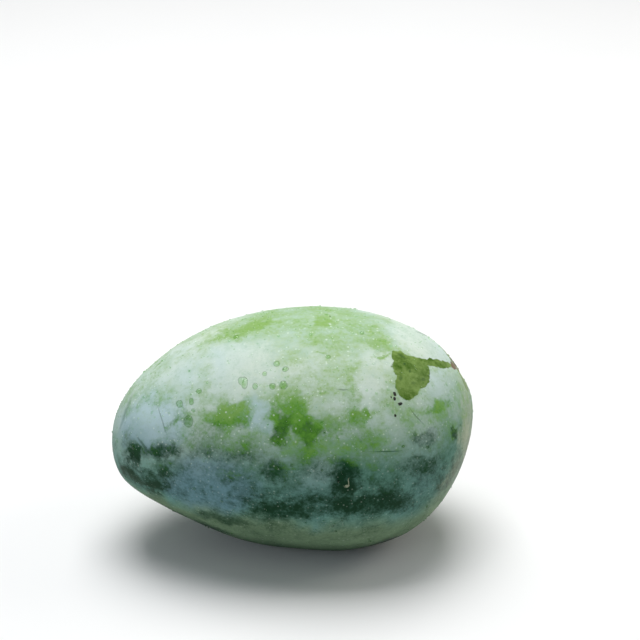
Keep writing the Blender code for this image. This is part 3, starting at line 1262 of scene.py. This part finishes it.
@dataclass
class Skin:
    """The fruit's whole surface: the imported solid's form, made fine and slightly uneven."""

    finish: SkinFinish = field(default_factory=SkinFinish)
    fine_levels: int = 2
    dent_size: float = 0.017
    dent_depth: float = 0.00030
    ripple_size: float = 0.005
    ripple_depth: float = 0.00006
    level_below: float = 0.004
    drawn: DrawnPatches = field(default_factory=DrawnPatches)

    def build(self, view: PhotoView) -> bpy.types.Object:
        """Builds the skin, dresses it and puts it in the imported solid's place.

        Args:
            view: The photo's camera, which places the patches.

        Returns:
            The skin.
        """
        mesh = self._form()
        surface = BVHTree.FromBMesh(mesh)
        skin = add_piece("mango_skin", mesh, self.finish.make(self._patches(view, surface)))
        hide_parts(FRUIT_NODE)
        return skin

    def _form(self) -> bmesh.types.BMesh:
        """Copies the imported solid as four-sided faces, refines it and makes it uneven.

        Returns:
            The skin's mesh.
        """
        rough = bmesh.new()
        rough.from_mesh(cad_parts[FRUIT_NODE].data)
        bmesh.ops.remove_doubles(rough, verts=rough.verts, dist=1e-6)
        bmesh.ops.join_triangles(
            rough,
            faces=rough.faces,
            angle_face_threshold=math.radians(30.0),
            angle_shape_threshold=math.radians(60.0),
        )
        data = bpy.data.meshes.new("skin_form")
        rough.to_mesh(data)
        rough.free()
        form = bpy.data.objects.new("skin_form", data)
        bpy.context.scene.collection.objects.link(form)
        finer = form.modifiers.new("finer", "SUBSURF")
        finer.levels = self.fine_levels
        finer.render_levels = self.fine_levels
        mesh = bmesh.new()
        mesh.from_object(form, bpy.context.evaluated_depsgraph_get())
        bpy.data.objects.remove(form, do_unlink=True)
        bpy.data.meshes.remove(data)
        self._make_uneven(mesh)
        return mesh

    def _make_uneven(self, mesh: bmesh.types.BMesh) -> None:
        """Raises and lowers the surface a little, as grown skin is, but not where it rests.

        Args:
            mesh: The skin's mesh.
        """
        mesh.normal_update()
        moves = []
        for vert in mesh.verts:
            dent = noise.noise(vert.co / self.dent_size) * self.dent_depth
            ripple = noise.noise(vert.co / self.ripple_size) * self.ripple_depth
            clear = min(1.0, vert.co.z / self.level_below)
            moves.append(vert.normal * (dent + ripple) * clear)
        for vert, move in zip(mesh.verts, moves):
            vert.co += move
        mesh.normal_update()

    def _patches(self, view: PhotoView, surface: BVHTree) -> list[Patch]:
        """Places every patch of the skin.

        Args:
            view: The photo's camera.
            surface: The skin's faces.

        Returns:
            The placed patches.
        """
        shown = [*SEEN_PATCHES, *(drop.wet_skin() for drop in DROPS if drop.wetness)]
        seen = [patch.put(view, surface) for patch in shown]
        unseen = [*STEM_PATCHES, *self.drawn.make()]
        return [patch for patch in seen if patch] + [patch.put(surface) for patch in unseen]


@dataclass
class StemScar:
    """The corky round where the stem broke off: a rough rim, a groove and a low middle."""

    finish: CorkFinish = field(default_factory=CorkFinish)
    radius: float = 0.0027
    height: float = 0.0005
    steps: int = 48
    roughness: float = 0.00022
    seed: int = 3
    pits_per_metre: float = 1400.0
    unroundness: float = 0.12
    waves_per_metre: float = 500.0

    # From the middle outwards and down under the skin, as shares of the radius and the height
    PROFILE = (
        (0.0, 0.15), (0.16, 0.35), (0.32, 0.55), (0.44, 0.20), (0.58, 0.45), (0.72, 0.95),
        (0.84, 1.0), (0.94, 0.55), (1.0, -0.4), (0.9, -1.6), (0.0, -1.6),
    )

    def build(self, surface: BVHTree) -> bpy.types.Object:
        """Builds the scar on the skin.

        Args:
            surface: The skin's faces.

        Returns:
            The scar.
        """
        centre, normal = skin_towards(surface, STEM_WAY)
        mesh = bmesh.new()
        corners = [
            mesh.verts.new((out * self.radius, 0.0, up * self.height)) for out, up in self.PROFILE
        ]
        edges = [mesh.edges.new(pair) for pair in zip(corners, corners[1:])]
        bmesh.ops.spin(
            mesh, geom=corners + edges, cent=(0, 0, 0), axis=(0, 0, 1),
            angle=math.tau, steps=self.steps, use_merge=True,
        )
        bmesh.ops.remove_doubles(mesh, verts=mesh.verts, dist=1e-6)
        bmesh.ops.recalc_face_normals(mesh, faces=mesh.faces)
        # Without a seed of its own, noise_vector takes the time of day for one
        noise.seed_set(self.seed)
        for vert in mesh.verts:
            vert.co += noise.noise_vector(vert.co * self.pits_per_metre) * self.roughness
            wave = noise.noise(Vector((vert.co.x, vert.co.y, 0.0)) * self.waves_per_metre)
            vert.co.xy *= 1.0 + self.unroundness * wave
        put = Matrix.Translation(centre) @ normal.to_track_quat("Z", "Y").to_matrix().to_4x4()
        bmesh.ops.transform(mesh, matrix=put, verts=mesh.verts)
        return add_piece("stem_scar", mesh, self.finish.make())


@dataclass(frozen=True)
class Blob:
    """Something small that lies on the skin: its place, the way out of the skin, and its half sizes."""

    place: Vector
    out: Vector
    sizes: Vector
    turn: float = 0.0

    def matrix(self) -> Matrix:
        """Works out how a ball of one unit is stretched, turned and moved into the blob.

        Returns:
            The matrix that does it.
        """
        lie = self.out.to_track_quat("Z", "Y").to_matrix().to_4x4()
        spin = Matrix.Rotation(self.turn, 4, "Z")
        return Matrix.Translation(self.place) @ lie @ spin @ Matrix.Diagonal((*self.sizes, 1.0))


SEEN_SPECKS = (
    Spot(394.8, 393.9, 1.7, 2.4),
    Spot(394.6, 398.8, 1.5, 2.0),
    Spot(400.3, 403.8, 2.6, 1.7),
    Spot(391.2, 397.2, 0.7, 1.2),
    Spot(395.3, 415.5, 1.3, 1.5),
    Spot(330.0, 316.3, 0.8, 0.7),
    Spot(451.0, 361.5, 0.8, 1.0),
)


@dataclass
class Specks:
    """Sooty specks: those in the photo, and a few more round the stem and on the hidden side."""

    finish: SootFinish = field(default_factory=SootFinish)
    seed: int = 5
    film: float = 0.00014
    drawn_film: float = 0.00012
    drawn_sizes: Range = (0.0002, 0.0007)
    slimness: Range = (0.5, 1.0)
    lumps: float = 1.7
    lump_shift: float = 900.0
    lumpiness: float = 0.35

    # Those drawn just below the stem, and those drawn over the hidden side
    stem_count: int = 14
    stem_middle_deg: tuple[float, float] = (STEM_ROUND_DEG - 6, STEM_OUT_DEG - 9)
    stem_spread_deg: float = 7.0
    back_count: int = 16
    back_out_deg: float = -45.0
    back_spread_deg: float = 25.0

    def build(self, view: PhotoView, surface: BVHTree) -> bpy.types.Object:
        """Builds the specks.

        Args:
            view: The photo's camera.
            surface: The skin's faces.

        Returns:
            The specks, as one piece.
        """
        blobs = []
        for spot in SEEN_SPECKS:
            met = view.meet(surface, spot.across, spot.down)
            if met is None:
                continue
            point, normal = met
            size = view.metres_per_pixel(point)
            sizes = Vector((spot.half_width * size, spot.half_height * size, self.film))
            blobs.append(Blob(point, normal, sizes))
        draw = random.Random(self.seed)
        for _ in range(self.stem_count):
            blobs.append(self._drawn(draw, surface, *self.stem_middle_deg, self.stem_spread_deg))
        for _ in range(self.back_count):
            round_deg = draw.uniform(0, 360)
            blobs.append(self._drawn(draw, surface, round_deg, self.back_out_deg, self.back_spread_deg))
        mesh = bmesh.new()
        for blob in blobs:
            made = bmesh.ops.create_icosphere(mesh, subdivisions=2, radius=1.0)["verts"]
            for vert in made:
                lump = noise.noise(vert.co * self.lumps + blob.place * self.lump_shift)
                vert.co *= 1.0 + self.lumpiness * lump
            bmesh.ops.transform(mesh, matrix=blob.matrix(), verts=made)
        return add_piece("sooty_specks", mesh, self.finish.make())

    def _drawn(
        self,
        draw: random.Random,
        surface: BVHTree,
        round_deg: float,
        out_deg: float,
        spread_deg: float,
    ) -> Blob:
        """Draws one speck about a direction.

        Args:
            draw: The draw.
            surface: The skin's faces.
            round_deg: The direction's turn towards the back.
            out_deg: Its turn towards the upper cheek.
            spread_deg: How far specks stray from it.

        Returns:
            The speck.
        """
        way = fruit_way(draw.gauss(round_deg, spread_deg), draw.gauss(out_deg, spread_deg))
        point, normal = skin_towards(surface, way)
        size = draw.uniform(*self.drawn_sizes)
        sizes = Vector((size, size * draw.uniform(*self.slimness), self.drawn_film))
        return Blob(point, normal, sizes, draw.uniform(0, 3))


@dataclass(frozen=True)
class DropForm:
    """One piece's drops: each one's mesh, and for drawn ones how many and of what radius."""

    name: str
    sides: int
    rings: int
    count: int = 0
    radius: Range = (0.0, 0.0)


@dataclass
class Dew:
    """Water on the skin: a fine mist all over it and the larger drops that the photo shows."""

    finish: WaterFinish = field(default_factory=WaterFinish)
    seed: int = 23
    seen: DropForm = DropForm("water_drops", 16, 10)
    beads: DropForm = DropForm("water_beads", 10, 8, 170, (0.00035, 0.0008))
    mist: DropForm = DropForm("water_mist", 6, 5, 2600, (0.00012, 0.00050))
    dry_below: float = 0.012

    # How likely a drawn drop is to hold on an upright face, and how much likelier on a level one
    upright_hold: float = 0.45
    level_hold: float = 0.55

    # How much commoner small drops are, and the forms that they vary between
    smallness: float = 2.2
    slimness: Range = (0.85, 1.2)
    drawn_height: Range = (0.5, 0.85)

    # The larger drops' height against their width, and the least that one's tilt is taken for
    height: float = 0.42
    least_facing: float = 0.45

    # Drops are made in lots of this many, since a large mesh is slow to add to
    LOT = 32

    def build(self, view: PhotoView, skin: bpy.types.Object, surface: BVHTree) -> None:
        """Builds the drops and the mist.

        Args:
            view: The photo's camera.
            skin: The skin, over whose faces the mist is drawn.
            surface: The same faces, for lines of sight to meet.
        """
        water = self.finish.make()
        self._pile(self.seen, self._drops(view, surface), water)
        draw = random.Random(self.seed)
        for form in (self.beads, self.mist):
            self._pile(form, self._scatter(skin, draw, form), water)

    def _drops(self, view: PhotoView, surface: BVHTree) -> list[Blob]:
        """Places the drops that the photo shows.

        Args:
            view: The photo's camera.
            surface: The skin's faces.

        Returns:
            The drops.
        """
        blobs = []
        for drop in DROPS:
            met = view.meet(surface, drop.across, drop.down)
            if met is None:
                continue
            point, normal = met
            size = view.metres_per_pixel(point)
            facing = max(self.least_facing, normal.dot(view.turn @ Vector((0.0, 0.0, 1.0))))
            sizes = Vector((drop.half_width * size, drop.half_height * size / facing, 0.0))
            sizes.z = self.height * min(sizes.x, sizes.y)
            blobs.append(Blob(point, normal, sizes))
        return blobs

    def _scatter(self, skin: bpy.types.Object, draw: random.Random, form: DropForm) -> list[Blob]:
        """Draws small drops over the skin's faces, evenly by area, sparse low on the fruit.

        Args:
            skin: The skin.
            draw: The draw.
            form: How many drops to place, and how large.

        Returns:
            The drops.
        """
        faces = skin.data.polygons
        areas = [face.area for face in faces]
        least, most = form.radius
        blobs: list[Blob] = []
        for face in draw.choices(faces, areas, k=2 * form.count):
            hold = self.upright_hold + self.level_hold * max(0.0, face.normal.z)
            if len(blobs) == form.count:
                break
            if face.center.z < self.dry_below or draw.random() > hold:
                continue
            size = least + (most - least) * draw.random() ** self.smallness
            slim = draw.uniform(*self.slimness)
            sizes = Vector((size, size * slim, size * draw.uniform(*self.drawn_height)))
            turn = draw.uniform(0.0, 6.0)
            blobs.append(Blob(face.center.copy(), face.normal.copy(), sizes, turn))
        return blobs

    def _pile(self, form: DropForm, blobs: list[Blob], water: bpy.types.Material) -> None:
        """Makes one piece of many drops, each a flattened ball half sunk in the skin.

        Args:
            form: The piece's name, and how fine a drop's mesh is.
            blobs: The drops.
            water: The drops' material.
        """
        mesh = bmesh.new()
        for start in range(0, len(blobs), self.LOT):
            few = bmesh.new()
            for blob in blobs[start : start + self.LOT]:
                bmesh.ops.create_uvsphere(
                    few,
                    u_segments=form.sides,
                    v_segments=form.rings,
                    radius=1.0,
                    matrix=blob.matrix(),
                )
            data = bpy.data.meshes.new("a_few_drops")
            few.to_mesh(data)
            few.free()
            mesh.from_mesh(data)
            bpy.data.meshes.remove(data)
        piece = add_piece(form.name, mesh, water)
        piece.visible_shadow = False


@dataclass(frozen=True)
class SoftLight:
    """A square studio light that faces the fruit."""

    name: str
    place: Vector
    side: float
    watts: float
    colour: Colour = (1.0, 1.0, 1.0)
    aim: Vector = field(default_factory=lambda: Vector((0.0, 0.0, 0.05)))

    def make(self) -> bpy.types.Object:
        """Makes the light and turns it to what it is aimed at.

        Returns:
            The light.
        """
        data = bpy.data.lights.new(self.name, "AREA")
        data.size = self.side
        data.energy = self.watts
        data.color = self.colour
        light = bpy.data.objects.new(self.name, data)
        turn = (self.place - self.aim).to_track_quat("Z", "Y")
        light.matrix_world = Matrix.Translation(self.place) @ turn.to_matrix().to_4x4()
        light.visible_transmission = False
        bpy.context.scene.collection.objects.link(light)
        return light


@dataclass
class Studio:
    """The pale floor, the soft lights and the pale surroundings."""

    floor_side: float = 8.0
    surround: Colour = (0.90, 0.94, 0.98)
    surround_strength: float = 0.22
    lights: tuple[SoftLight, ...] = (
        SoftLight("key_above", Vector((-0.05, 0.36, 1.25)), 0.9, 17.4),
        SoftLight("fill_left", Vector((-0.9, -0.8, 0.45)), 0.7, 2.2, (0.80, 0.91, 1.0)),
        SoftLight("edge_right", Vector((1.4, 0.3, 0.9)), 0.7, 4.9, (1.0, 0.96, 0.88)),
    )

    def build(self) -> bpy.types.Object:
        """Builds the studio.

        Returns:
            The floor.
        """
        mesh = bmesh.new()
        bmesh.ops.create_grid(mesh, x_segments=8, y_segments=8, size=self.floor_side / 2)
        data = bpy.data.meshes.new("studio_floor")
        mesh.to_mesh(data)
        mesh.free()
        data.materials.append(FloorFinish().make())
        floor = bpy.data.objects.new("studio_floor", data)
        bpy.context.scene.collection.objects.link(floor)
        for light in self.lights:
            light.make()
        world = bpy.data.worlds.new("pale_surround")
        world.use_nodes = True
        sky = world.node_tree.nodes["Background"]
        sky.inputs["Color"].default_value = (*self.surround, 1.0)
        sky.inputs["Strength"].default_value = self.surround_strength
        bpy.context.scene.world = world
        bpy.context.scene.view_settings.view_transform = "Standard"
        return floor


def main() -> None:
    """Builds the camera, the fruit's pieces and the studio, and notes the sizes."""
    logging.basicConfig(level=logging.INFO, format="%(name)s: %(message)s")
    view = PhotoView()
    view.make()
    skin = Skin().build(view)
    shape = bmesh.new()
    shape.from_mesh(skin.data)
    surface = BVHTree.FromBMesh(shape)
    shape.free()
    StemScar().build(surface)
    Specks().build(view, surface)
    Dew().build(view, skin, surface)
    Studio().build()


if __name__ == "__main__":
    main()
